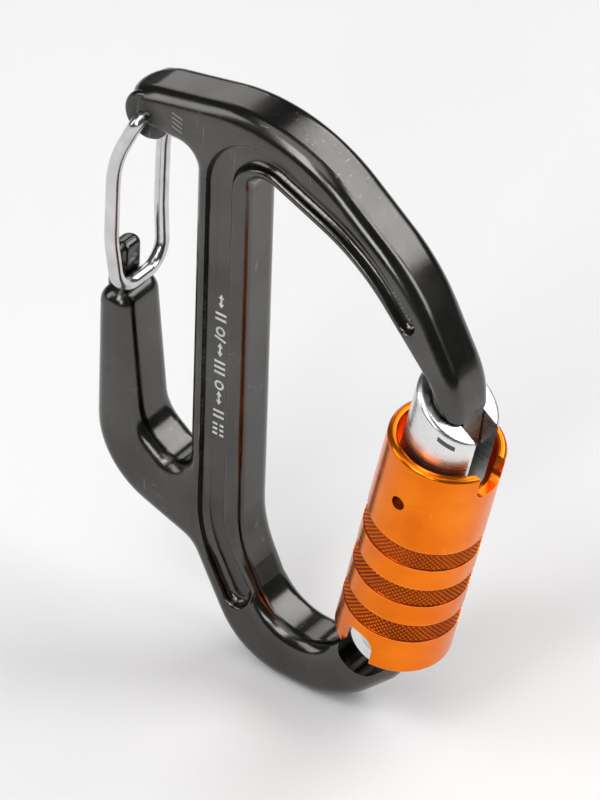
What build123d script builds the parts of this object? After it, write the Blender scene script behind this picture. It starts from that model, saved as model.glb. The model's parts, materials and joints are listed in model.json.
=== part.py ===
"""Locking carabiner with a friction spur, a wire gate and a twist-lock sleeve.

Frame: millimetres, +Z up along the straight spine, +X from the spine towards the main gate,
Y across the body. The origin is the centre of the spine at mid height, and the body is
symmetric about the XZ plane. Inside the gate, u is the distance outwards from the gate's
axis, away from the spine, and s is the distance up that axis from the hinge rivet.
"""

from build123d import *
import math
import os

os.makedirs("parts", exist_ok=True)

# ---------------------------------------------------------------- driving dimensions, mm
BODY_THICKNESS = 9.4
EDGE_RADIUS = 2.5
SPINE_HALF = 4.7
CHANNEL_DEPTH = 1.8
CHANNEL_RIM_RADIUS = 0.6
CHANNEL_FLOOR_RADIUS = 1.1

HINGE_X = 31.6
HINGE_Z = -34.8
GATE_TILT = 11.8
TENON_HALF = 2.45
TENON_HALF_WIDTH = 4.3
TENON_END = 3.6
RECESS_RADIUS = 5.2
RECESS_END = (28.3, -39.4)
RECESS_END_RADIUS = 4.1

NOSE_TIP = 36.8
NOSE_OUTER = 4.0
NOSE_INNER = -2.6
BLADE_HALF = 2.45
KEY_U = -3.3
KEY_S = 44.0
KEY_NOTCH_RADIUS = 1.9
KEY_RADIUS = 1.5
SHOULDER_S = 48.0
SHOULDER_SLOPE = -0.45
SHOULDER_GAP = 0.5

BARREL_RADIUS = 6.6
FORK_HALF = 2.6
FORK_FLOOR = 4.9
EAR_FACE = 5.2
EAR_RADIUS = 4.4
EAR_START = 1.6
HEAD_EDGE_RADIUS = 0.8
HEAD_SLOT_HALF = 2.75
HEAD_SLOT_FLOOR = 34.6

RIVET_RADIUS = 1.6
RIVET_HEAD_RADIUS = 2.4
RIVET_HEAD_HEIGHT = 0.45
RIVET_CROWN_RADIUS = 1.44
RUNNING_FIT = 0.05

PLUNGER_U = -1.6
PLUNGER_RADIUS = 1.5
PLUNGER_TIP_S = 3.56
PLUNGER_LENGTH = 8.0
PLUNGER_BORE_TOP = 27.0
PLUNGER_TIP_RADIUS = 1.45
RETURN_WIRE = 0.45
RETURN_COIL_RADIUS = 1.175
RETURN_TURNS = 11

SLEEVE_RADIUS = 8.95
SLEEVE_BOTTOM = -1.5
SLEEVE_TOP = 39.6
SLEEVE_LIP_RADIUS = 7.5
SLEEVE_BORE_RADIUS = 7.6
SLEEVE_RIM_RADII = (0.7, 0.4)
SLEEVE_FOOT_RADIUS = 0.5
LAND_BOTTOM = 29.4
LAND_TOP = 34.0
KNURL_DEPTH = 0.3
KNURL_BANDS = ((20.6, 24.2), (12.9, 16.5), (5.2, 8.8))
NOSE_NOTCH_WIDTH = 6.0
NOSE_NOTCH_FLOOR = 35.3
NOSE_NOTCH_CORNER = 1.6
SLEEVE_TURN = 82.0
PIN_S = 31.6
PIN_ANGLE = 180.0
PIN_RADIUS = 0.9
PIN_INNER = 3.4
PIN_OUTER = 7.6
TRACK_RADIUS = 8.0
TRACK_PLAY = 0.1
ACCESS_HOLE_ANGLE = -94.0
ACCESS_HOLE_RADIUS = 1.15
ACCESS_HOLE_DEPTH = 2.0
FOOT_NOTCH_ANGLES = (-97.0, 180.0)
FOOT_NOTCH_WIDTH = 5.8
FOOT_NOTCH_TOP = 3.4
FOOT_NOTCH_CORNER = 2.4

RING_BOTTOM = 4.2
RING_HEIGHT = 2.4
TORSION_WIRE = 0.7
TORSION_TURNS = 9
TORSION_END_GAP = 0.25

BOW_END_X = -18.1
BOW_TOP_BEND = (-13.2, 44.79)
BOW_OVERRUN_X = -26.0
BOW_END_TRIM_HEIGHT = 20.0
BOSS_X = -13.8
BOSS_Z = 39.7
BOSS_RADIUS = 4.0
BOSS_HALF = 4.3
BOSS_EDGE_RADIUS = 0.8
WIRE_DIAMETER = 2.2
WIRE_LEG_Y = 6.0
WIRE_EYE_DEPTH = 3.2
WIRE_SHOULDER = (-18.0, 30.5)
WIRE_KNEE = (-18.2, 16.0)
WIRE_LOOP_BOTTOM = (-17.2, 6.5)
WIRE_LOOP_Y = 5.4
WIRE_BEND_RADII = [1.3, 20.0, 26.0, 4.2]

SPUR_TIP = 4.9
NUB_HALF = 2.4
NUB_EDGE_RADIUS = 1.4

# Longer than any cut has to reach.
CUT = 30.0
# How far an edge may lie from a level and still be picked with it.
RIM_PICK = 0.5
FLOOR_PICK = 0.01

# ---------------------------------------------------------------- frames
TILT = math.radians(GATE_TILT)
HINGE = (HINGE_X, 0, HINGE_Z)
OUTWARD = (math.cos(TILT), 0, -math.sin(TILT))
ALONG = (math.sin(TILT), 0, math.cos(TILT))
GATE_ACROSS = Plane(origin=HINGE, x_dir=OUTWARD, z_dir=ALONG)
GATE_SIDE = Plane(origin=HINGE, x_dir=OUTWARD, z_dir=(0, -1, 0))
GATE_AXIS = Axis(HINGE, ALONG)


def gate_point(u, s):
    """X and Z of a point given along the gate's own axes."""
    x = HINGE_X + u * math.cos(TILT) + s * math.sin(TILT)
    z = HINGE_Z - u * math.sin(TILT) + s * math.cos(TILT)
    return (x, z)


def closed_outline(corners):
    """Closed line through (point, radius) corners, each rounded to its radius."""
    points = [point for point, radius in corners]
    radii = [radius for point, radius in corners]
    return FilletPolyline(*points, radius=radii, close=True)


def sloped_block(s, height):
    """Outline that starts on a line parallel to the nose's shoulder, s up the gate's axis."""
    reach = 2 * BARREL_RADIUS
    inner = (-reach, s - reach * SHOULDER_SLOPE)
    outer = (reach, s + reach * SHOULDER_SLOPE)
    Polyline(inner, outer, (reach, s + height), (-reach, s + height), close=True)


def half_slot(width, depth, corner):
    """Outline of a notch with two rounded corners, from its floor at zero to the depth."""
    half = width / 2
    FilletPolyline((-half, depth), (-half, 0), (half, 0), (half, depth), radius=corner)
    Line((half, depth), (-half, depth))


def radial_plane(angle, s):
    """Plane square to a radius of the gate at polar angle from u, with local Y up the axis."""
    turn = math.radians(angle)
    across = GATE_ACROSS.x_dir * math.cos(turn) + GATE_ACROSS.y_dir * math.sin(turn)
    level = GATE_ACROSS.origin + GATE_ACROSS.z_dir * s
    return Plane(origin=level, x_dir=GATE_ACROSS.z_dir.cross(across), z_dir=across)


def save(part, name):
    part.label = name
    export_step(part, f"parts/{name}.step")


# ---------------------------------------------------------------- frame body
BODY_OUTLINE = [
    (BOW_TOP_BEND, 8.0),
    ((11.6, 50.3), 30.0),
    ((34.9, 31.9), 32.0),
    ((44.5, 14.5), 16.0),
    (gate_point(NOSE_OUTER, NOSE_TIP), 3.0),
    (gate_point(NOSE_INNER, NOSE_TIP), 3.0),
    (gate_point(NOSE_INNER, 49.6), 6.0),
    ((24.8, 30.7), 33.0),
    ((SPINE_HALF, 39.4), 3.5),
    ((SPINE_HALF, -31.2), 20.0),
    ((11.0, -43.4), 9.0),
    ((20.9, -43.4), 8.0),
    (gate_point(-TENON_HALF_WIDTH, -1.2), 5.0),
    (gate_point(-TENON_HALF_WIDTH, TENON_END), 3.4),
    (gate_point(TENON_HALF_WIDTH, TENON_END), 3.4),
    (gate_point(TENON_HALF_WIDTH, -6.6), 6.0),
    ((23.9, -52.4), 17.0),
    ((5.6, -52.4), 14.0),
    ((-3.95, -35.0), 4.0),
    ((-22.3, -28.5), 14.0),
    ((-22.3, SPUR_TIP), 2.9),
    ((-16.4, SPUR_TIP), 2.9),
    ((-13.9, -18.2), 6.0),
    ((-SPINE_HALF, -25.2), 3.2),
    ((-SPINE_HALF, 37.6), 3.2),
    ((BOW_OVERRUN_X, 37.2), 0.5),
    ((BOW_OVERRUN_X, 39.0), 0.5),
]

CHANNEL_OUTLINE = [
    ((-2.3, 49.6), 10.5),
    ((26.5, 36.3), 38.0),
    ((36.4, 24.6), 1.35),
    ((34.3, 22.8), 1.35),
    ((25.9, 32.9), 35.0),
    ((2.3, 43.0), 5.9),
    ((2.3, -30.6), 20.0),
    ((8.3, -41.1), 2.2),
    ((4.2, -43.4), 2.2),
    ((-2.3, -31.6), 20.0),
]

NUB_OUTLINE = [
    ((-22.1, -2.0), 0.5),
    ((-22.1, 11.9), 2.2),
    ((-18.5, 12.3), 1.3),
    ((-18.5, -2.0), 0.5),
]

# The round boss that carries the wire gate's two ends.
with BuildPart() as boss:
    with BuildSketch(Plane.XZ):
        with Locations((BOSS_X, BOSS_Z)):
            Circle(BOSS_RADIUS)
    extrude(amount=BOSS_HALF, both=True)
    fillet(boss.faces().filter_by(Axis.Y).edges(), BOSS_EDGE_RADIUS)

# What is left outside an upright cylinder at the bow's free end, which it rounds in plan. The
# outline runs past the end, so that this alone shapes it.
with BuildPart() as bow_end_trim:
    with Locations((BOW_END_X + BODY_THICKNESS / 2, 0, BOSS_Z)):
        Box(CUT, CUT, BOW_END_TRIM_HEIGHT, align=(Align.MAX, Align.CENTER, Align.CENTER))
        Cylinder(BODY_THICKNESS / 2, BOW_END_TRIM_HEIGHT, mode=Mode.SUBTRACT)

# The nub above the spur's shoulder, narrower than the wire loop that closes over it.
with BuildPart() as nub:
    with BuildSketch(Plane.XZ):
        with BuildLine():
            closed_outline(NUB_OUTLINE)
        make_face()
    extrude(amount=NUB_HALF, both=True)
    fillet(nub.faces().filter_by(Axis.Y).edges(), NUB_EDGE_RADIUS)

with BuildPart() as frame_body:
    with BuildSketch(Plane.XZ):
        with BuildLine():
            closed_outline(BODY_OUTLINE)
        make_face()
    extrude(amount=BODY_THICKNESS / 2, both=True)
    add(bow_end_trim.part, mode=Mode.SUBTRACT)
    bow_end = frame_body.faces(Select.LAST).filter_by(GeomType.CYLINDER).sort_by(Axis.X)[0]
    seams = bow_end.edges().filter_by(Axis.Z)
    rims = frame_body.faces().filter_by(Axis.Y).edges() + bow_end.edges()
    fillet(rims.filter_by(lambda edge: edge not in seams), EDGE_RADIUS)

    add(boss.part)
    add(nub.part)

    for face_sign in (-1, 1):
        # Lightening channel along the spine and the bow, on both broad faces.
        broad_y = -face_sign * BODY_THICKNESS / 2
        floor_y = broad_y + face_sign * CHANNEL_DEPTH
        with BuildSketch(Plane.XZ.offset(-floor_y)):
            with BuildLine():
                closed_outline(CHANNEL_OUTLINE)
            make_face()
        extrude(amount=face_sign * CUT, mode=Mode.SUBTRACT)
        channel_edges = frame_body.edges(Select.LAST).sort_by(Axis.X)
        rim_range = (broad_y - RIM_PICK, broad_y + RIM_PICK)
        fillet(channel_edges.filter_by_position(Axis.Y, *rim_range), CHANNEL_RIM_RADIUS)
        floor_range = (floor_y - FLOOR_PICK, floor_y + FLOOR_PICK)
        floor_edges = frame_body.edges().filter_by_position(Axis.Y, *floor_range)
        fillet(floor_edges, CHANNEL_FLOOR_RADIUS)

        # Milled flat beside the tenon, which leaves room for the gate's ear to turn.
        with BuildSketch(Plane.XZ.offset(face_sign * TENON_HALF)):
            with Locations((HINGE_X, HINGE_Z)):
                Circle(RECESS_RADIUS)
            with Locations(RECESS_END):
                Circle(RECESS_END_RADIUS)
            make_hull()
        extrude(amount=face_sign * CUT, mode=Mode.SUBTRACT)

        # The nose is thinned to a blade below a slanting shoulder.
        with BuildSketch(GATE_SIDE.offset(face_sign * BLADE_HALF)):
            with BuildLine():
                sloped_block(SHOULDER_S, -CUT)
            make_face()
        extrude(amount=face_sign * CUT, mode=Mode.SUBTRACT)

    # The key notch in the blade's inner edge, which the gate's key fills when it is closed.
    with BuildSketch(GATE_SIDE):
        with Locations((KEY_U, KEY_S)):
            Circle(KEY_NOTCH_RADIUS)
    extrude(amount=CUT, both=True, mode=Mode.SUBTRACT)

    # Holes for the gate's rivet and for the wire gate's ends.
    with BuildSketch(Plane.XZ):
        with Locations((HINGE_X, HINGE_Z)):
            Circle(RIVET_RADIUS + RUNNING_FIT)
        with Locations((BOSS_X, BOSS_Z)):
            Circle(WIRE_DIAMETER / 2 + RUNNING_FIT)
    extrude(amount=CUT, both=True, mode=Mode.SUBTRACT)

save(frame_body.part, "frame_body")


# ---------------------------------------------------------------- hinge rivet
def rivet_profile():
    """Half section of the rivet: shank and two domed heads, with x the radius and y along."""
    dome = EAR_FACE + RIVET_HEAD_HEIGHT
    Line((0, -dome), (RIVET_CROWN_RADIUS, -dome))
    TangentArc((RIVET_CROWN_RADIUS, -dome), (RIVET_HEAD_RADIUS, -EAR_FACE), tangent=(1, 0))
    Polyline(
        (RIVET_HEAD_RADIUS, -EAR_FACE),
        (RIVET_RADIUS, -EAR_FACE),
        (RIVET_RADIUS, EAR_FACE),
        (RIVET_HEAD_RADIUS, EAR_FACE),
    )
    TangentArc((RIVET_CROWN_RADIUS, dome), (RIVET_HEAD_RADIUS, EAR_FACE), tangent=(1, 0))
    Polyline((RIVET_CROWN_RADIUS, dome), (0, dome), (0, -dome))


with BuildPart() as hinge_rivet:
    with BuildSketch(GATE_ACROSS):
        with BuildLine():
            rivet_profile()
        make_face()
    revolve(axis=Axis(HINGE, (0, 1, 0)))

save(hinge_rivet.part, "hinge_rivet")


# ---------------------------------------------------------------- gate barrel
with BuildPart() as gate_barrel:
    with BuildSketch(GATE_ACROSS.offset(-EAR_RADIUS)):
        Circle(BARREL_RADIUS)
    extrude(amount=EAR_RADIUS + SHOULDER_S + BARREL_RADIUS)

    # The head's top follows the nose's shoulder.
    with BuildSketch(GATE_SIDE):
        with BuildLine():
            sloped_block(SHOULDER_S - SHOULDER_GAP, CUT)
        make_face()
    extrude(amount=CUT, both=True, mode=Mode.SUBTRACT)
    head_rim = gate_barrel.faces().sort_by(GATE_AXIS)[-1].edges()
    fillet(head_rim, HEAD_EDGE_RADIUS)

    # Slot for the nose blade, open at the top and outwards, with the key left standing.
    with BuildSketch(GATE_SIDE):
        with Locations((KEY_U, HEAD_SLOT_FLOOR)):
            Rectangle(CUT, CUT, align=(Align.MIN, Align.MIN))
        with Locations((KEY_U, KEY_S)):
            Circle(KEY_RADIUS, mode=Mode.SUBTRACT)
    extrude(amount=HEAD_SLOT_HALF, both=True, mode=Mode.SUBTRACT)

    # Fork for the body's tenon, and the two rounded ears outside it.
    below = (Align.CENTER, Align.MAX)
    with BuildSketch(GATE_SIDE):
        with Locations((0, FORK_FLOOR)):
            Rectangle(CUT, CUT, align=below)
    extrude(amount=FORK_HALF, both=True, mode=Mode.SUBTRACT)
    with BuildSketch(GATE_SIDE):
        with Locations((0, EAR_START)):
            Rectangle(CUT, CUT, align=below)
        Circle(EAR_RADIUS, mode=Mode.SUBTRACT)
    extrude(amount=CUT, both=True, mode=Mode.SUBTRACT)
    for face_sign in (-1, 1):
        with BuildSketch(GATE_SIDE.offset(face_sign * EAR_FACE)):
            with Locations((0, EAR_RADIUS)):
                Rectangle(CUT, CUT, align=below)
        extrude(amount=face_sign * CUT, mode=Mode.SUBTRACT)
    with BuildSketch(GATE_SIDE):
        Circle(RIVET_RADIUS)
    extrude(amount=CUT, both=True, mode=Mode.SUBTRACT)

    # Blind bore for the plunger and the return spring.
    with BuildSketch(GATE_ACROSS.offset(PLUNGER_BORE_TOP)):
        with Locations((PLUNGER_U, 0)):
            Circle(PLUNGER_RADIUS + RUNNING_FIT)
    extrude(amount=-PLUNGER_BORE_TOP, mode=Mode.SUBTRACT)

    # Seat of the guide pin, and a blind hole under the sleeve's assembly hole at rest.
    with BuildSketch(radial_plane(PIN_ANGLE, PIN_S).offset(PIN_INNER)):
        Circle(PIN_RADIUS)
    extrude(amount=CUT, mode=Mode.SUBTRACT)
    access_floor = BARREL_RADIUS - ACCESS_HOLE_DEPTH
    with BuildSketch(radial_plane(ACCESS_HOLE_ANGLE, PIN_S).offset(access_floor)):
        Circle(ACCESS_HOLE_RADIUS)
    extrude(amount=CUT, mode=Mode.SUBTRACT)

save(gate_barrel.part, "gate_barrel")


# ---------------------------------------------------------------- plunger and return spring
with BuildPart() as gate_plunger:
    with BuildSketch(GATE_ACROSS.offset(PLUNGER_TIP_S)):
        with Locations((PLUNGER_U, 0)):
            Circle(PLUNGER_RADIUS)
    extrude(amount=PLUNGER_LENGTH)
    tip_edge = gate_plunger.edges().sort_by(GATE_AXIS)[0]
    fillet(tip_edge, PLUNGER_TIP_RADIUS)

save(gate_plunger.part, "gate_plunger")


def coil(centre_u, start_s, end_s, mean_radius, wire, turns):
    """Round-wire helix about a line parallel to the gate's axis."""
    base_x, base_z = gate_point(centre_u, start_s)
    with BuildPart() as spring:
        with BuildLine():
            path = Helix(
                pitch=(end_s - start_s) / turns,
                height=end_s - start_s,
                radius=mean_radius,
                center=(base_x, 0, base_z),
                direction=ALONG,
            )
        with BuildSketch(Plane(origin=path @ 0, z_dir=path % 0)):
            Circle(wire / 2)
        sweep(path=path, is_frenet=True)
    return spring.part


return_spring_start = PLUNGER_TIP_S + PLUNGER_LENGTH + RETURN_WIRE / 2
gate_return_spring = coil(
    PLUNGER_U,
    return_spring_start,
    PLUNGER_BORE_TOP - RETURN_WIRE / 2,
    RETURN_COIL_RADIUS,
    RETURN_WIRE,
    RETURN_TURNS,
)
save(gate_return_spring, "gate_return_spring")


# ---------------------------------------------------------------- locking sleeve
with BuildPart() as locking_sleeve:
    with BuildSketch(GATE_ACROSS.offset(SLEEVE_BOTTOM)):
        Circle(SLEEVE_RADIUS)
    extrude(amount=SLEEVE_TOP - SLEEVE_BOTTOM)
    fillet(locking_sleeve.edges().sort_by(GATE_AXIS)[-1], SLEEVE_RIM_RADII[0])
    fillet(locking_sleeve.edges().sort_by(GATE_AXIS)[0], SLEEVE_FOOT_RADIUS)

    # Bore: wide for the torsion spring, a guide land above it, and the open rim.
    with BuildSketch(GATE_ACROSS.offset(SLEEVE_BOTTOM)):
        Circle(SLEEVE_BORE_RADIUS)
    extrude(amount=LAND_BOTTOM - SLEEVE_BOTTOM, mode=Mode.SUBTRACT)
    with BuildSketch(GATE_ACROSS.offset(LAND_BOTTOM)):
        Circle(BARREL_RADIUS + RUNNING_FIT)
    extrude(amount=SLEEVE_TOP - LAND_BOTTOM, mode=Mode.SUBTRACT)
    with BuildSketch(GATE_ACROSS.offset(LAND_TOP)):
        Circle(SLEEVE_LIP_RADIUS)
    extrude(amount=SLEEVE_TOP - LAND_TOP, mode=Mode.SUBTRACT)
    mouth = locking_sleeve.edges().filter_by(GeomType.CIRCLE).sort_by(GATE_AXIS)[-1]
    fillet(mouth, SLEEVE_RIM_RADII[1])

    # Shallow bands for the knurling.
    for low, high in KNURL_BANDS:
        with BuildSketch(GATE_ACROSS.offset(low)):
            Circle(CUT)
            Circle(SLEEVE_RADIUS - KNURL_DEPTH, mode=Mode.SUBTRACT)
        extrude(amount=high - low, mode=Mode.SUBTRACT)

    # Rim notch for the nose, which faces it only when the sleeve is unlocked.
    with BuildSketch(radial_plane(0, NOSE_NOTCH_FLOOR)):
        with BuildLine():
            half_slot(NOSE_NOTCH_WIDTH, CUT, NOSE_NOTCH_CORNER)
        make_face()
    extrude(amount=CUT, mode=Mode.SUBTRACT)

    # Notches in the foot, which bare the hinge ear.
    for angle in FOOT_NOTCH_ANGLES:
        with BuildSketch(radial_plane(angle, FOOT_NOTCH_TOP)):
            with BuildLine():
                half_slot(FOOT_NOTCH_WIDTH, -CUT, FOOT_NOTCH_CORNER)
            make_face()
        extrude(amount=CUT, mode=Mode.SUBTRACT)

    # Assembly hole, and the blind track that the guide pin runs in.
    with BuildSketch(radial_plane(ACCESS_HOLE_ANGLE, PIN_S)):
        Circle(ACCESS_HOLE_RADIUS)
    extrude(amount=CUT, mode=Mode.SUBTRACT)
    track_half = PIN_RADIUS + TRACK_PLAY
    end_angle = math.degrees(math.asin(track_half / BARREL_RADIUS))
    track_start = PIN_ANGLE - SLEEVE_TURN - end_angle
    with BuildSketch(GATE_ACROSS.offset(PIN_S - track_half)):
        with BuildLine():
            outer_arc = CenterArc((0, 0), TRACK_RADIUS, track_start, SLEEVE_TURN + 2 * end_angle)
            Line((0, 0), outer_arc @ 0)
            Line((0, 0), outer_arc @ 1)
        make_face()
        Circle(BARREL_RADIUS, mode=Mode.SUBTRACT)
    extrude(amount=2 * track_half, mode=Mode.SUBTRACT)

save(locking_sleeve.part, "locking_sleeve")


# ---------------------------------------------------------------- guide pin, ring, torsion spring
with BuildPart() as sleeve_guide_pin:
    with BuildSketch(radial_plane(PIN_ANGLE, PIN_S).offset(PIN_INNER)):
        Circle(PIN_RADIUS)
    extrude(amount=PIN_OUTER - PIN_INNER)

save(sleeve_guide_pin.part, "sleeve_guide_pin")

with BuildPart() as sleeve_end_ring:
    with BuildSketch(GATE_ACROSS.offset(RING_BOTTOM)):
        Circle(SLEEVE_BORE_RADIUS)
        Circle(BARREL_RADIUS + RUNNING_FIT, mode=Mode.SUBTRACT)
    extrude(amount=RING_HEIGHT)

save(sleeve_end_ring.part, "sleeve_end_ring")

torsion_inset = TORSION_WIRE / 2 + TORSION_END_GAP
sleeve_torsion_spring = coil(
    0,
    RING_BOTTOM + RING_HEIGHT + torsion_inset,
    LAND_BOTTOM - torsion_inset,
    (BARREL_RADIUS + SLEEVE_BORE_RADIUS) / 2,
    TORSION_WIRE,
    TORSION_TURNS,
)
save(sleeve_torsion_spring, "sleeve_torsion_spring")


# ---------------------------------------------------------------- wire gate
half_path = [
    (BOSS_X, BOSS_HALF - WIRE_EYE_DEPTH, BOSS_Z),
    (BOSS_X, WIRE_LEG_Y, BOSS_Z),
    (WIRE_SHOULDER[0], WIRE_LEG_Y, WIRE_SHOULDER[1]),
    (WIRE_KNEE[0], WIRE_LEG_Y, WIRE_KNEE[1]),
    (WIRE_LOOP_BOTTOM[0], WIRE_LOOP_Y, WIRE_LOOP_BOTTOM[1]),
]
other_half = [(x, -y, z) for x, y, z in reversed(half_path)]

with BuildPart() as wire_gate:
    with BuildLine():
        path = FilletPolyline(
            *half_path, *other_half, radius=WIRE_BEND_RADII + WIRE_BEND_RADII[::-1]
        )
    with BuildSketch(Plane(origin=path @ 0, z_dir=path % 0)):
        Circle(WIRE_DIAMETER / 2)
    sweep(path=path)

save(wire_gate.part, "wire_gate")
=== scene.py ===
import json
import math

import bmesh
import bpy
from mathutils import Matrix, Vector


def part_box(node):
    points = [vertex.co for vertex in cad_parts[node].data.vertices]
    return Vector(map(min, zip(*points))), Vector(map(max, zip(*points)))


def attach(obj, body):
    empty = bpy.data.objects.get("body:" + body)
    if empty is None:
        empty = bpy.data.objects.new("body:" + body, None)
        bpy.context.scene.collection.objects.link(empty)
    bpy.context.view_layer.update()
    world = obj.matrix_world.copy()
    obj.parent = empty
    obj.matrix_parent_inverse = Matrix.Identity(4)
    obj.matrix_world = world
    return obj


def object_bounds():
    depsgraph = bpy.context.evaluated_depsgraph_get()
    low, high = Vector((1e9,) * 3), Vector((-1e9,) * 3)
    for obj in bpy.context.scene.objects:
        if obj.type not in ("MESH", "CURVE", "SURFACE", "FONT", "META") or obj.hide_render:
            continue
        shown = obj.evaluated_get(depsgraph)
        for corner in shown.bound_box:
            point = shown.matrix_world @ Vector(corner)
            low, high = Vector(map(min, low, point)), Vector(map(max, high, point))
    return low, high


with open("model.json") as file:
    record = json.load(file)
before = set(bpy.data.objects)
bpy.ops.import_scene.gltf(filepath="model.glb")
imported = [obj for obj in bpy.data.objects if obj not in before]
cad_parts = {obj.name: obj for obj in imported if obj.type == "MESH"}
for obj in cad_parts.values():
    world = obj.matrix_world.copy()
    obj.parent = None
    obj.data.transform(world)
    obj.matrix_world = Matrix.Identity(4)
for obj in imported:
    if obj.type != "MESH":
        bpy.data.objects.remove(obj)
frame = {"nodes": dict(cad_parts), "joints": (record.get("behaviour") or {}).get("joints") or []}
cad_low, cad_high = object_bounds()

# ---------------------------------------------------------------- frames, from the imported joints
MM = 0.001
JOINTS = {joint["name"]: joint for joint in frame["joints"]}
# The gate's hinge, its axis, and the directions away from the spine and across the body.
HINGE = Vector(JOINTS["sleeve_twist"]["pos_m"])
ALONG = Vector(JOINTS["sleeve_twist"]["axis"]).normalized()
OUTWARD = Vector((ALONG.z, 0, -ALONG.x))
ACROSS = Vector((0, 1, 0))
PIVOT = Vector(JOINTS["wire_gate_hinge"]["pos_m"])

# Levels of the body's broad faces and of the channel's floors, either side of the middle.
CHANNEL_DEPTH = 1.8 * MM
BODY_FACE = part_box("frame_body")[1].y
CHANNEL_FLOOR = BODY_FACE - CHANNEL_DEPTH

# Knurled bands, in millimetres: start and end up the gate's axis, the ring's radii inside and at
# the bottom of its grooves, and the teeth, each drawn with a number of steps.
KNURL_BANDS = ((20.6, 24.2), (12.9, 16.5), (5.2, 8.8))
KNURL_INNER = 8.4
KNURL_VALLEY = 8.67
KNURL_HEIGHT = 0.24
KNURL_TEETH = 68
KNURL_PITCH = 0.83
KNURL_STEPS = 6
KNURL_MARGIN = 0.06
KNURL_RUN_OUT = 0.3
KNURL_FLAT_GAIN = 1.35
# Radii between which the shade painted into the grooves gives way, and between which the tips are
# rubbed.
KNURL_GROOVE_SHADE_RADII = (8.70 * MM, 8.91 * MM)
KNURL_RUB_RADII = (8.85 * MM, 8.93 * MM)

# Radii round the wire gate's pivot between which the darkening fades out.
PIVOT_DARK_RADII = (2.2 * MM, 4.6 * MM)
# Distances from a knurled band's edge between which its painted highlight line fades out.
EDGE_HIGHLIGHT_REACH = (0.04 * MM, 0.2 * MM)


def gate_world(radius, angle, s):
    """Point at a radius and a height s of the gate's axis, in millimetres, and a polar angle."""
    across = OUTWARD * (radius * math.cos(angle)) + ACROSS * (radius * math.sin(angle))
    return HINGE + (across + ALONG * s) * MM


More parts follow.
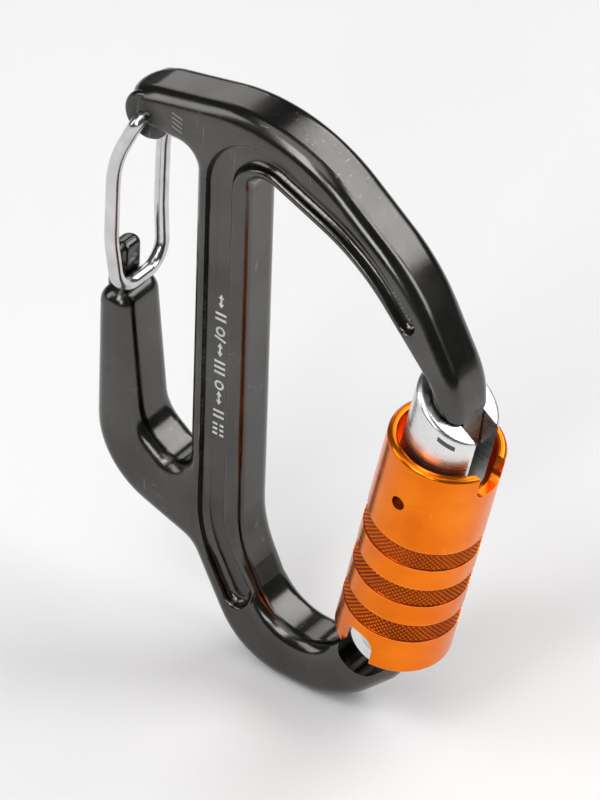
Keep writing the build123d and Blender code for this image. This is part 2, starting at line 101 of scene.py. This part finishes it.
# ---------------------------------------------------------------- material helpers
class Surface:
    """A node material that is built up step by step around one Principled shader."""

    def __init__(self, name, metallic, roughness, colour):
        self.material = bpy.data.materials.new(name)
        self.material.use_nodes = True
        self.nodes = self.material.node_tree.nodes
        self.links = self.material.node_tree.links
        self.shader = self.nodes["Principled BSDF"]
        self.shader.inputs["Metallic"].default_value = metallic
        self.shader.inputs["Roughness"].default_value = roughness
        self.shader.inputs["Base Color"].default_value = (*colour, 1)
        self.place = self.nodes.new("ShaderNodeTexCoord").outputs["Object"]

    def link(self, source, target):
        """Joins an output socket to an input socket."""
        self.links.new(source, target)

    def axes(self, x_axis, y_axis, z_axis, origin=(0, 0, 0)):
        """Object coordinates turned into another frame, for streaks along an axis."""
        offset = self.nodes.new("ShaderNodeVectorMath")
        offset.operation = "SUBTRACT"
        self.link(self.place, offset.inputs[0])
        offset.inputs[1].default_value = origin
        combine = self.nodes.new("ShaderNodeCombineXYZ")
        for index, axis in enumerate((x_axis, y_axis, z_axis)):
            dot = self.nodes.new("ShaderNodeVectorMath")
            dot.operation = "DOT_PRODUCT"
            self.link(offset.outputs[0], dot.inputs[0])
            dot.inputs[1].default_value = axis
            self.link(dot.outputs["Value"], combine.inputs[index])
        return combine.outputs[0]

    def length(self, source):
        """Length of a vector source."""
        node = self.nodes.new("ShaderNodeVectorMath")
        node.operation = "LENGTH"
        self.link(source, node.inputs[0])
        return node.outputs["Value"]

    def noise(self, scale, stretch=(1, 1, 1), detail=4, source=None, distortion=0.0):
        """Noise value, finer along an axis with a larger stretch."""
        mapping = self.nodes.new("ShaderNodeMapping")
        mapping.inputs["Scale"].default_value = stretch
        self.link(source or self.place, mapping.inputs["Vector"])
        noise = self.nodes.new("ShaderNodeTexNoise")
        noise.inputs["Scale"].default_value = scale
        noise.inputs["Detail"].default_value = detail
        noise.inputs["Distortion"].default_value = distortion
        self.link(mapping.outputs[0], noise.inputs["Vector"])
        return noise.outputs["Fac"]

    def ramp(self, source, stops):
        """Value from a source through (position, value or colour) stops."""
        ramp = self.nodes.new("ShaderNodeValToRGB")
        while len(ramp.color_ramp.elements) < len(stops):
            ramp.color_ramp.elements.new(0.5)
        for element, (position, value) in zip(ramp.color_ramp.elements, stops):
            colour = value if isinstance(value, tuple) else (value, value, value)
            element.position = position
            element.color = (*colour, 1)
        self.link(source, ramp.inputs[0])
        return ramp.outputs[0]

    def span(self, source, low, high, new_low, new_high):
        """Maps a source's range to a new one, clamped."""
        node = self.nodes.new("ShaderNodeMapRange")
        limits = {"From Min": low, "From Max": high, "To Min": new_low, "To Max": new_high}
        for name, value in limits.items():
            node.inputs[name].default_value = value
        self.link(source, node.inputs["Value"])
        return node.outputs["Result"]

    def maths(self, operation, first, second):
        """Math node; first and second are numbers or sockets."""
        node = self.nodes.new("ShaderNodeMath")
        node.operation = operation
        for index, value in enumerate((first, second)):
            if isinstance(value, (int, float)):
                node.inputs[index].default_value = value
            else:
                self.link(value, node.inputs[index])
        return node.outputs[0]

    def mix(self, factor, first, second):
        """Colour mix; first and second are colours or sockets."""
        node = self.nodes.new("ShaderNodeMix")
        node.data_type = "RGBA"
        self.link(factor, node.inputs["Factor"])
        for name, value in (("A", first), ("B", second)):
            socket = [i for i in node.inputs if i.name == name and i.type == "RGBA"][0]
            if isinstance(value, tuple):
                socket.default_value = (*value, 1)
            else:
                self.link(value, socket)
        return [o for o in node.outputs if o.type == "RGBA"][0]

    def colour(self, source):
        self.link(source, self.shader.inputs["Base Color"])

    def roughness(self, source):
        self.link(source, self.shader.inputs["Roughness"])

    def bump(self, *layers):
        """Chained bumps from (height source, distance in metres, strength)."""
        normal = None
        for source, distance, strength in layers:
            node = self.nodes.new("ShaderNodeBump")
            node.inputs["Distance"].default_value = distance
            node.inputs["Strength"].default_value = strength
            self.link(source, node.inputs["Height"])
            if normal is not None:
                self.link(normal, node.inputs["Normal"])
            normal = node.outputs[0]
        self.link(normal, self.shader.inputs["Normal"])


# ---------------------------------------------------------------- materials
def anodised_grey():
    """Polished hot-forged aluminium under a dark grey anodic film, with rope and handling wear."""
    skin = Surface("anodised_grey_skin", 1.0, 0.2, (0.096, 0.093, 0.088))
    cloud = skin.noise(90, detail=3)
    fine = skin.noise(2600, detail=2)
    film = skin.ramp(cloud, [(0.3, (0.080, 0.077, 0.073)), (0.7, (0.112, 0.109, 0.103))])
    speck = skin.ramp(fine, [(0.30, (0.058, 0.056, 0.053)), (0.42, (0.096, 0.093, 0.088))])
    toned = skin.mix(skin.span(fine, 0.3, 0.5, 0.35, 0.0), film, speck)

    # The metal is coloured much darker round the wire gate's pivot, in blotches.
    reach = skin.length(skin.axes((1, 0, 0), (0, 0, 0), (0, 0, 1), PIVOT))
    pivot_dark = skin.span(reach, *PIVOT_DARK_RADII, 0.7, 0)
    blotches = skin.span(skin.noise(420, detail=3), 0.3, 0.6, 0.6, 1)
    toned = skin.mix(skin.maths("MULTIPLY", pivot_dark, blotches), toned, (0.022, 0.021, 0.020))

    # Hairline scratches in two directions, brighter than the film around them.
    first = skin.noise(220, (14, 2, 0.9), 5, distortion=0.4)
    second = skin.noise(260, (0.8, 3, 12), 5, distortion=0.5)
    hairs = skin.maths(
        "MAXIMUM",
        skin.span(first, 0.665, 0.72, 0, 1),
        skin.span(second, 0.675, 0.73, 0, 1),
    )
    patches = skin.span(skin.noise(55, detail=2), 0.42, 0.62, 0, 1)
    worn = skin.maths("MULTIPLY", hairs, patches)
    skin.colour(skin.mix(skin.maths("MULTIPLY", worn, 0.5), toned, (0.34, 0.34, 0.33)))

    smudge = skin.span(skin.noise(130, detail=5), 0.3, 0.7, 0.13, 0.25)
    skin.roughness(skin.maths("ADD", smudge, skin.maths("MULTIPLY", worn, 0.12)))
    skin.bump(
        (skin.noise(420, detail=2), 0.00004, 0.35),
        (skin.noise(5200, detail=2), 0.000006, 0.5),
        (hairs, -0.000006, 0.5),
    )
    return skin.material


def satin_silver():
    """Turned aluminium of the gate barrel: fine rings round the axis and a faint cloud."""
    skin = Surface("satin_silver_skin", 1.0, 0.3, (0.78, 0.785, 0.79))
    turned = skin.axes(OUTWARD, ACROSS, ALONG, HINGE)
    rings = skin.noise(1000, (0.06, 0.06, 5.5), 3, source=turned)
    cloud = skin.noise(160, detail=4)
    skin.colour(skin.ramp(cloud, [(0.3, (0.73, 0.735, 0.74)), (0.7, (0.82, 0.825, 0.83))]))
    base = skin.span(rings, 0.3, 0.7, 0.2, 0.36)
    skin.roughness(skin.maths("ADD", base, skin.span(cloud, 0.45, 0.7, 0, 0.08)))
    skin.bump((rings, 0.000005, 0.5), (skin.noise(3800, detail=2), 0.000005, 0.5))
    return skin.material


def anodised_orange(name, knurled):
    """Orange anodised aluminium, with painted highlights along the band edges, painted shade in
    the knurling's grooves, and paler worn tips on the knurling.
    """
    skin = Surface(name, 0.92, 0.27, (0.88, 0.19, 0.004))
    turned = skin.axes(OUTWARD, ACROSS, ALONG, HINGE)
    rings = skin.noise(1000, (0.08, 0.08, 6.0), 3, source=turned)
    cloud = skin.noise(140, detail=4)
    dark, middle, light = (0.80, 0.155, 0.003), (0.88, 0.190, 0.004), (0.94, 0.23, 0.007)
    film = skin.ramp(cloud, [(0.28, dark), (0.52, middle), (0.75, light)])
    if knurled:
        radius = skin.length(skin.axes(OUTWARD, ACROSS, (0, 0, 0), HINGE))
        # Painted shade: the knurling's grooves are coloured dark, fading out towards the tips.
        tips = skin.span(radius, *KNURL_GROOVE_SHADE_RADII, 0, 1)
        toned = skin.mix(tips, (0.30, 0.040, 0.002), skin.mix(tips, (0.5, 0.085, 0.002), film))
        polished = skin.span(radius, *KNURL_RUB_RADII, 0, 0.15)
        skin.colour(skin.mix(polished, toned, (1.0, 0.45, 0.10)))
        skin.roughness(skin.span(tips, 0, 1, 0.5, 0.3))
        skin.bump((skin.noise(3200, detail=3), 0.00001, 0.5))
        return skin.material

    height = skin.nodes.new("ShaderNodeSeparateXYZ")
    skin.link(turned, height.inputs[0])
    # Painted highlight: paler lines along every knurled band's edges, broken into patches; the
    # hairlines are scratches.
    highlight_patches = skin.span(skin.noise(300, detail=3), 0.35, 0.6, 0.15, 1)
    edge_highlights = None
    for low, high in KNURL_BANDS:
        for edge in (low, high):
            offset = skin.maths("SUBTRACT", height.outputs["Z"], edge * MM)
            line = skin.span(skin.maths("ABSOLUTE", offset, 0), *EDGE_HIGHLIGHT_REACH, 0.55, 0)
            edge_highlights = line if edge_highlights is None else skin.maths("MAXIMUM", edge_highlights, line)
    hairs = skin.span(skin.noise(240, (11, 2, 0.8), 5, distortion=0.3), 0.69, 0.75, 0, 0.18)
    highlights_and_hairs = skin.maths("MAXIMUM", skin.maths("MULTIPLY", edge_highlights, highlight_patches), hairs)
    skin.colour(skin.mix(highlights_and_hairs, film, (1.0, 0.47, 0.12)))
    skin.roughness(skin.span(rings, 0.3, 0.7, 0.17, 0.29))
    skin.bump((rings, 0.000008, 0.5), (skin.noise(4200, detail=2), 0.000005, 0.4))
    return skin.material


def steel(name, colour, roughness_low, roughness_high, stretch):
    """Steel with fine marks, which stretch draws out along the way it was worked."""
    skin = Surface(name, 1.0, roughness_low, colour)
    drawn = skin.noise(1500, stretch, 4)
    cloud = skin.noise(300, detail=3)
    dark = tuple(0.82 * value for value in colour)
    skin.colour(skin.ramp(cloud, [(0.3, dark), (0.65, colour)]))
    skin.roughness(skin.span(drawn, 0.3, 0.7, roughness_low, roughness_high))
    skin.bump((drawn, 0.000008, 0.5), (skin.noise(6000, detail=2), 0.000003, 0.4))
    return skin.material


def dark_polymer():
    """Moulded polyamide, slightly grained."""
    skin = Surface("dark_polymer_skin", 0.0, 0.5, (0.03, 0.03, 0.032))
    grain = skin.noise(2400, detail=3)
    skin.colour(skin.ramp(grain, [(0.3, (0.022, 0.022, 0.024)), (0.7, (0.045, 0.045, 0.047))]))
    skin.roughness(skin.span(grain, 0.3, 0.7, 0.42, 0.6))
    skin.bump((grain, 0.00001, 0.6))
    return skin.material


def matte_mark(name, colour, dim):
    """Matte laser etching, with the grain of the pulses and thin places; the same finish also
    carries the painted shade dash on the gate's head.
    """
    skin = Surface(name, 0.1, 0.65, colour)
    pulses = skin.noise(7000, detail=2)
    wear = skin.noise(500, detail=3)
    etched = skin.ramp(pulses, [(0.3, dim), (0.6, colour)])
    skin.colour(skin.mix(skin.span(wear, 0.35, 0.65, 0.0, 0.45), etched, dim))
    skin.roughness(skin.span(pulses, 0.3, 0.7, 0.55, 0.8))
    skin.bump((pulses, 0.000006, 0.6))
    return skin.material


BODY_SKIN = anodised_grey()
SILVER_SKIN = satin_silver()
SLEEVE_SKIN = anodised_orange("anodised_orange_skin", False)
KNURL_SKIN = anodised_orange("anodised_orange_knurl", True)
RIVET_SKIN = steel("rivet_steel_skin", (0.74, 0.74, 0.75), 0.22, 0.38, (1, 1, 1))
WIRE_SKIN = steel("gate_wire_skin", (0.64, 0.64, 0.65), 0.12, 0.24, (8, 8, 0.5))
SPRING_SKIN = steel("spring_steel_skin", (0.55, 0.55, 0.56), 0.25, 0.4, (1, 1, 1))
POLYMER_SKIN = dark_polymer()
ETCH_SKIN = matte_mark("etched_white_skin", (0.80, 0.80, 0.79), (0.42, 0.42, 0.41))
DIM_ETCH_SKIN = matte_mark("etched_grey_skin", (0.27, 0.27, 0.26), (0.15, 0.15, 0.15))
# Painted shade: the near-black dash on the gate's head, in the matte etching finish.
DARK_DASH_SKIN = matte_mark("painted_shade_dash_skin", (0.05, 0.05, 0.055), (0.12, 0.12, 0.12))

NODE_SKINS = {
    "frame_body": BODY_SKIN,
    "hinge_rivet": RIVET_SKIN,
    "gate_barrel": SILVER_SKIN,
    "gate_plunger": POLYMER_SKIN,
    "gate_return_spring": SPRING_SKIN,
    "locking_sleeve": SLEEVE_SKIN,
    "sleeve_end_ring": POLYMER_SKIN,
    "sleeve_guide_pin": RIVET_SKIN,
    "sleeve_torsion_spring": SPRING_SKIN,
    "wire_gate": WIRE_SKIN,
}
for node_name, skin in NODE_SKINS.items():
    node_mesh = frame["nodes"][node_name].data
    node_mesh.materials.clear()
    node_mesh.materials.append(skin)


# ---------------------------------------------------------------- pieces
def new_piece(name, bm, skin, body):
    """Object from a bmesh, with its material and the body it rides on."""
    mesh = bpy.data.meshes.new(name)
    bmesh.ops.recalc_face_normals(bm, faces=bm.faces)
    bm.to_mesh(mesh)
    bm.free()
    mesh.materials.append(skin)
    piece = bpy.data.objects.new(name, mesh)
    bpy.context.scene.collection.objects.link(piece)
    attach(piece, body)
    return piece


def groove(value):
    """Distance from the nearest groove of a repeating family: 0 in it, 1 midway."""
    return 1 - abs(2 * (value % 1.0) - 1)


def knurl_height(angle, s, low, high):
    """Height of the diamond knurling, with flat tips, which runs out at the band's two ends."""
    turn = KNURL_TEETH * angle / (2 * math.pi)
    rise = s / KNURL_PITCH
    diamond = min(groove(turn + rise), groove(turn - rise))
    run_out = min(1.0, (s - low) / KNURL_RUN_OUT, (high - s) / KNURL_RUN_OUT)
    return KNURL_HEIGHT * min(1.0, KNURL_FLAT_GAIN * diamond) * max(0.0, run_out)


def knurl_band(name, band):
    """Closed ring whose outside is cut with crossed grooves."""
    low, high = band[0] + KNURL_MARGIN, band[1] - KNURL_MARGIN
    columns = KNURL_TEETH * KNURL_STEPS
    rows = round((high - low) / KNURL_PITCH * KNURL_STEPS)
    bm = bmesh.new()
    loops = []
    for row in range(rows + 1):
        s = low + (high - low) * row / rows
        loop = []
        for column in range(columns):
            angle = 2 * math.pi * column / columns
            radius = KNURL_VALLEY + knurl_height(angle, s, low, high)
            loop.append(bm.verts.new(gate_world(radius, angle, s)))
        loops.append(loop)
    for s in (high, low):
        angles = (2 * math.pi * column / columns for column in range(columns))
        loops.append([bm.verts.new(gate_world(KNURL_INNER, angle, s)) for angle in angles])
    for first, second in zip(loops, loops[1:] + loops[:1]):
        for column in range(columns):
            after = (column + 1) % columns
            bm.faces.new((first[column], first[after], second[after], second[column]))
    return new_piece(name, bm, KNURL_SKIN, "sleeve")


for index, band in enumerate(KNURL_BANDS):
    knurl_band(f"knurl_band_{index + 1}", band)

# Laser marks are thin plates: how far they stand proud of the surface and how deep they sit.
MARK_PROUD = 0.015 * MM
BOW_MARK_PROUD = 0.07 * MM
MARK_SUNK = 0.05 * MM
# Sizes of the marks, in millimetres.
ARROW_REACH = 1.3
ARROW_WIDTH = 0.34
ARROW_HEAD_HALF = 0.5
ARROW_HEAD_LENGTH = 0.85
RING_RADIUS = 0.7
RING_STROKES = 12
BAR_HALF = 1.0
BAR_WIDTH = 0.42
THIN_BAR_WIDTH = 0.36
SPLIT_BAR_WIDTH = 0.4
SPLIT_BAR_GAP = (-0.15, 0.3)
ARM_DASH_WIDTH = 0.26
BOW_DASH_WIDTH = 0.28


def plate(bm, corners, side, face_y, proud=MARK_PROUD):
    """Thin prism on a face of the body from its XZ corners in millimetres."""
    rings = []
    for depth in (face_y - MARK_SUNK, face_y + proud):
        rings.append([bm.verts.new((x * MM, side * depth, z * MM)) for x, z in corners])
    bm.faces.new(rings[0])
    bm.faces.new(rings[1])
    for index in range(len(corners)):
        after = (index + 1) % len(corners)
        bm.faces.new((rings[0][index], rings[0][after], rings[1][after], rings[1][index]))


def stroke(bm, start, end, width, side, face_y, proud=MARK_PROUD):
    """Straight stroke with square ends."""
    a, b = Vector(start), Vector(end)
    normal = (b - a).orthogonal().normalized() * (width / 2)
    corners = [a + normal, b + normal, b - normal, a - normal]
    plate(bm, [tuple(corner) for corner in corners], side, face_y, proud)


def arrow(bm, tip, base, side, face_y):
    """Arrow with a triangular head."""
    a, b = Vector(base), Vector(tip)
    way = (b - a).normalized()
    across = way.orthogonal() * ARROW_HEAD_HALF
    neck = b - way * ARROW_HEAD_LENGTH
    stroke(bm, a, neck, ARROW_WIDTH, side, face_y)
    plate(bm, [tuple(b), tuple(neck + across), tuple(neck - across)], side, face_y)


def ring(bm, centre, radius, width, side, face_y):
    """Small circle drawn with short strokes."""
    for index in range(RING_STROKES):
        angles = [2 * math.pi * (index + step) / RING_STROKES for step in (0, 1)]
        ends = [
            (centre[0] + radius * math.cos(angle), centre[1] + radius * math.sin(angle))
            for angle in angles
        ]
        stroke(bm, ends[0], ends[1], width, side, face_y)


# Heights of the marks on the spine's centre line, in millimetres.
DOUBLE_ARROWS = (11.6, 2.6, -6.4)
FULL_BARS = (9.2, 8.2, 0.3, -0.7, -1.7, -8.9, -9.9)
RINGS = (6.0, -4.0)
SLANT = (4.9, 4.3)
SPLIT_BARS = (-11.4, -12.3, -13.2)


def spine_marks(side, name):
    """Row of generic marks down the spine's channel: arrows, bars, rings and a slant."""
    bm = bmesh.new()
    for z in DOUBLE_ARROWS:
        arrow(bm, (0, z + ARROW_REACH), (0, z), side, CHANNEL_FLOOR)
        arrow(bm, (0, z - ARROW_REACH), (0, z), side, CHANNEL_FLOOR)
    for z in FULL_BARS:
        stroke(bm, (-BAR_HALF, z), (BAR_HALF, z), BAR_WIDTH, side, CHANNEL_FLOOR)
    for z in RINGS:
        ring(bm, (0, z), RING_RADIUS, THIN_BAR_WIDTH, side, CHANNEL_FLOOR)
    slant = ((-BAR_HALF, SLANT[0]), (BAR_HALF, SLANT[1]))
    stroke(bm, *slant, THIN_BAR_WIDTH, side, CHANNEL_FLOOR)
    for z in SPLIT_BARS:
        for ends in ((-BAR_HALF, SPLIT_BAR_GAP[0]), (SPLIT_BAR_GAP[1], BAR_HALF)):
            stroke(bm, *((x, z) for x in ends), SPLIT_BAR_WIDTH, side, CHANNEL_FLOOR)
    return new_piece(name, bm, ETCH_SKIN, "frame")


# Heights of the dashes on the arm, and the X and the rise of each dash's two ends.
ARM_DASHES = (42.9, 42.1, 41.3, 40.5)
ARM_DASH_START = (-8.5, 0.3)
ARM_DASH_END = (-6.6, -0.25)


def arm_marks(side, name):
    """Short slanting dashes one above the other beside the boss."""
    bm = bmesh.new()
    for z in ARM_DASHES:
        start = (ARM_DASH_START[0], z + ARM_DASH_START[1])
        end = (ARM_DASH_END[0], z + ARM_DASH_END[1])
        stroke(bm, start, end, ARM_DASH_WIDTH, side, BODY_FACE)
    return new_piece(name, bm, DIM_ETCH_SKIN, "frame")


# Straight end of the bow's channel, and each dash's share of the way along it and half length.
BOW_CHANNEL_START = Vector((26.2, 34.6))
BOW_CHANNEL_END = Vector((35.35, 23.7))
BOW_DASHES = (
    (0.56, 0.55),
    (0.60, 0.55),
    (0.65, 0.30),
    (0.69, 0.55),
    (0.74, 0.55),
    (0.79, 0.30),
    (0.83, 0.55),
    (0.88, 0.55),
)


def bow_marks(side, name):
    """Small dashes across the bow's channel, short of the nose."""
    bm = bmesh.new()
    across = (BOW_CHANNEL_END - BOW_CHANNEL_START).orthogonal().normalized()
    for share, reach in BOW_DASHES:
        middle = BOW_CHANNEL_START.lerp(BOW_CHANNEL_END, share)
        ends = (middle - across * reach, middle + across * reach)
        stroke(bm, *ends, BOW_DASH_WIDTH, side, CHANNEL_FLOOR, BOW_MARK_PROUD)
    return new_piece(name, bm, DIM_ETCH_SKIN, "frame")


for side, label in ((-1, "front"), (1, "back")):
    spine_marks(side, f"spine_marks_{label}")
    arm_marks(side, f"arm_marks_{label}")
    bow_marks(side, f"bow_marks_{label}")


# Gate head, in millimetres: the barrel's radius, the rim's height on the axis and its slope.
BARREL_RADIUS = 6.6
RIM_HEIGHT = 47.5
RIM_SLOPE = 0.45
# The painted shade dash on its cheek: radius and distance below the rim of its four long edges,
# and its angles.
CHEEK_EDGES = ((6.55, 2.1), (6.55, 1.25), (6.615, 1.25), (6.615, 2.1))
CHEEK_START = -77.0
CHEEK_SWEEP = 25.0
CHEEK_COLUMNS = 8


def cheek_shade_dash():
    """Painted shade: a dark dash on the gate's head, under the slanting rim and curved with the
    barrel.
    """
    bm = bmesh.new()
    loops = []
    for radius, drop in CHEEK_EDGES:
        loop = []
        for column in range(CHEEK_COLUMNS + 1):
            angle = math.radians(CHEEK_START + CHEEK_SWEEP * column / CHEEK_COLUMNS)
            s = RIM_HEIGHT - RIM_SLOPE * BARREL_RADIUS * math.cos(angle) - drop
            loop.append(bm.verts.new(gate_world(radius, angle, s)))
        loops.append(loop)
    for first, second in zip(loops, loops[1:] + loops[:1]):
        for column in range(CHEEK_COLUMNS):
            bm.faces.new((first[column], first[column + 1], second[column + 1], second[column]))
    for column in (0, CHEEK_COLUMNS):
        bm.faces.new([loop[column] for loop in loops])
    return new_piece("cheek_shade_dash", bm, DARK_DASH_SKIN, "gate")


cheek_shade_dash()

# ---------------------------------------------------------------- stage, lights, camera
FLOOR_GAP = 0.2 * MM
FLOOR_HALF = 6.0
centre = (cad_low + cad_high) / 2


def direction(azimuth, elevation):
    """Unit vector from the object, by degrees round from the front and degrees up."""
    a, e = math.radians(azimuth), math.radians(elevation)
    return Vector((math.sin(a) * math.cos(e), -math.cos(a) * math.cos(e), math.sin(e)))


def pale_floor():
    """Plain matte floor, large enough to fill every view."""
    mesh = bpy.data.meshes.new("floor")
    level = cad_low.z - FLOOR_GAP
    signs = ((-1, -1), (1, -1), (1, 1), (-1, 1))
    corners = [(x * FLOOR_HALF, y * FLOOR_HALF, level) for x, y in signs]
    mesh.from_pydata(corners, [], [(0, 1, 2, 3)])
    skin = Surface("floor_skin", 0.0, 0.7, (0.86, 0.86, 0.86))
    skin.colour(skin.ramp(skin.noise(6, detail=3), [(0.3, 0.85), (0.7, 0.88)]))
    mesh.materials.append(skin.material)
    floor = bpy.data.objects.new("floor", mesh)
    bpy.context.scene.collection.objects.link(floor)


pale_floor()

WORLD_STRENGTH = 0.09
world = bpy.data.worlds.new("studio")
bpy.context.scene.world = world
world.use_nodes = True
background = world.node_tree.nodes["Background"]
background.inputs["Color"].default_value = (1, 1, 1, 1)
background.inputs["Strength"].default_value = WORLD_STRENGTH


# Lights: azimuth and elevation in degrees, width and height in metres, and radiance.
SOFTBOX_DISTANCE = 0.8
SOFTBOXES = {
    "softbox_top": (10, 80, 0.6, 0.6, 1.5),
    "softbox_key": (0, 46, 0.24, 0.5, 6.0),
    "softbox_front": (22, 27, 0.16, 0.3, 6.0),
    "softbox_left": (-52, 28, 0.3, 0.6, 2.6),
    "softbox_right": (112, 34, 0.2, 0.6, 4.2),
    "softbox_rim": (160, 42, 0.7, 0.4, 3.7),
    "softbox_back": (226, 26, 0.34, 0.34, 1.5),
}


def softbox(name, azimuth, elevation, width, height, radiance):
    """Area light aimed at the object's centre; radiance sets how bright its reflection is."""
    away = direction(azimuth, elevation)
    light = bpy.data.lights.new(name, "AREA")
    light.shape = "RECTANGLE"
    light.size = width
    light.size_y = height
    light.energy = radiance * math.pi * width * height
    lamp = bpy.data.objects.new(name, light)
    lamp.location = centre + away * SOFTBOX_DISTANCE
    lamp.rotation_euler = away.to_track_quat("Z", "Y").to_euler()
    bpy.context.scene.collection.objects.link(lamp)


for softbox_name, settings in SOFTBOXES.items():
    softbox(softbox_name, *settings)

# Camera: its direction and roll in degrees, its distance and the height of its view at the object
# in metres, and its sensor in millimetres.
AZIMUTH = 36.0
ELEVATION = 38.0
ROLL = 1.9
DISTANCE = 1.45
VIEW_HEIGHT = 0.118
SENSOR_HEIGHT = 24.0

away = direction(AZIMUTH, ELEVATION)
camera_data = bpy.data.cameras.new("camera")
camera_data.sensor_fit = "VERTICAL"
camera_data.sensor_height = SENSOR_HEIGHT
camera_data.lens = SENSOR_HEIGHT * DISTANCE / VIEW_HEIGHT
camera_data.clip_start = 0.05
camera = bpy.data.objects.new("camera", camera_data)
roll = Matrix.Rotation(math.radians(ROLL), 4, "Z")
turn = away.to_track_quat("Z", "Y").to_matrix().to_4x4()
camera.matrix_world = Matrix.Translation(centre + away * DISTANCE) @ turn @ roll
bpy.context.scene.collection.objects.link(camera)
bpy.context.scene.camera = camera
bpy.context.scene.view_settings.view_transform = "Standard"
